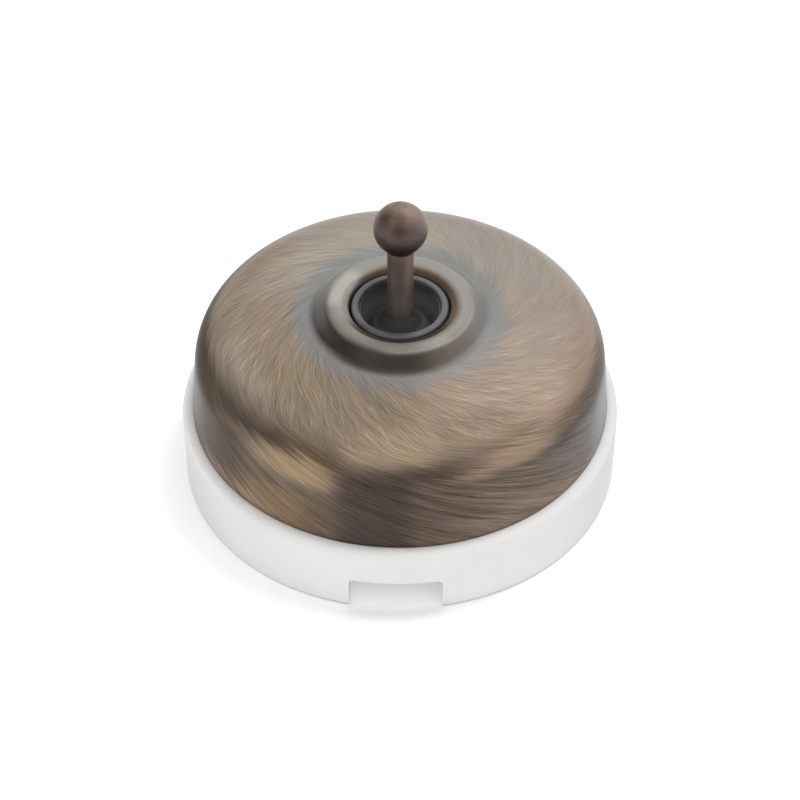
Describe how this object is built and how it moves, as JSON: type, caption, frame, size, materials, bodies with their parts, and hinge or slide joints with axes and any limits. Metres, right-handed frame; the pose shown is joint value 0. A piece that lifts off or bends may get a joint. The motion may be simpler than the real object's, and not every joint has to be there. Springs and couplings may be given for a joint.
{
  "type": "surface-mounted dolly light switch",
  "caption": "Round surface light switch: glazed porcelain base with a cable notch, spun aged-brass dome cover, black retaining ring and a ball-ended dolly that tips between on and off.",
  "frame": {"origin": "centre of the base's back face, the face that goes against the wall", "axes": "+Z out of the wall along the cover's axis, -Y towards the cable notch, +X along the dolly's pivot pin"},
  "size_m": [0.0826, 0.0826, 0.0582],
  "materials": {
    "glazed_porcelain": "white glaze, soft gloss",
    "aged_brass": "aged brown brass with a swirled hand-brushed grain",
    "dark_bronze": "dark bronze-brown satin",
    "black_ring": "black satin",
    "black_moulding": "black moulded",
    "plain_brass": "bare rolled or turned brass",
    "bright_steel": "bright zinc-plated steel",
    "contact_silver": "silver alloy contact",
    "pale_nylon": "natural nylon"
  },
  "bodies": {
    "base": {"porcelain_base": "glazed_porcelain", "brass_cover": "aged_brass", "retaining_ring": "black_ring", "contact_block": "black_moulding", "block_screws": "bright_steel", "common_strip": "plain_brass", "way_one_strip": "plain_brass", "way_two_strip": "plain_brass", "fixed_contacts": "contact_silver", "common_terminal": "plain_brass", "way_one_terminal": "plain_brass", "way_two_terminal": "plain_brass", "earth_terminal": "plain_brass", "terminal_screws": "bright_steel", "fulcrum_bracket": "plain_brass", "fulcrum_pin": "bright_steel", "bush_plate": "plain_brass", "plate_screws": "bright_steel", "threaded_bush": "black_ring", "pivot_pin": "bright_steel"},
    "dolly": {"dolly_lever": "dark_bronze", "dolly_hub": "black_moulding", "plunger_spring": "bright_steel"},
    "plunger": {"plunger": "pale_nylon"},
    "rocker": {"rocker_blade": "plain_brass", "rocker_contacts": "contact_silver"}
  },
  "joints": [
    {"name": "dolly_hinge", "type": "hinge", "parent": "base", "child": "dolly", "pos_m": [0, 0, 0.02936], "axis": [1, 0, 0], "range_deg": [0, 24]},
    {"name": "rocker_hinge", "type": "hinge", "parent": "base", "child": "rocker", "pos_m": [0, 0, 0.0162], "axis": [1, 0, 0], "range_deg": [-12, 0]},
    {"name": "plunger_slide", "type": "slide", "parent": "dolly", "child": "plunger", "axis": [0, 0.2079, 0.9781], "range_m": [0, 0.0006], "stiffness_N_per_m": 50, "deforming": ["plunger_spring"]}
  ],
  "couplings": [
    {"joint": "rocker_hinge", "follows": "dolly_hinge", "ratio": -0.5}
  ]
}
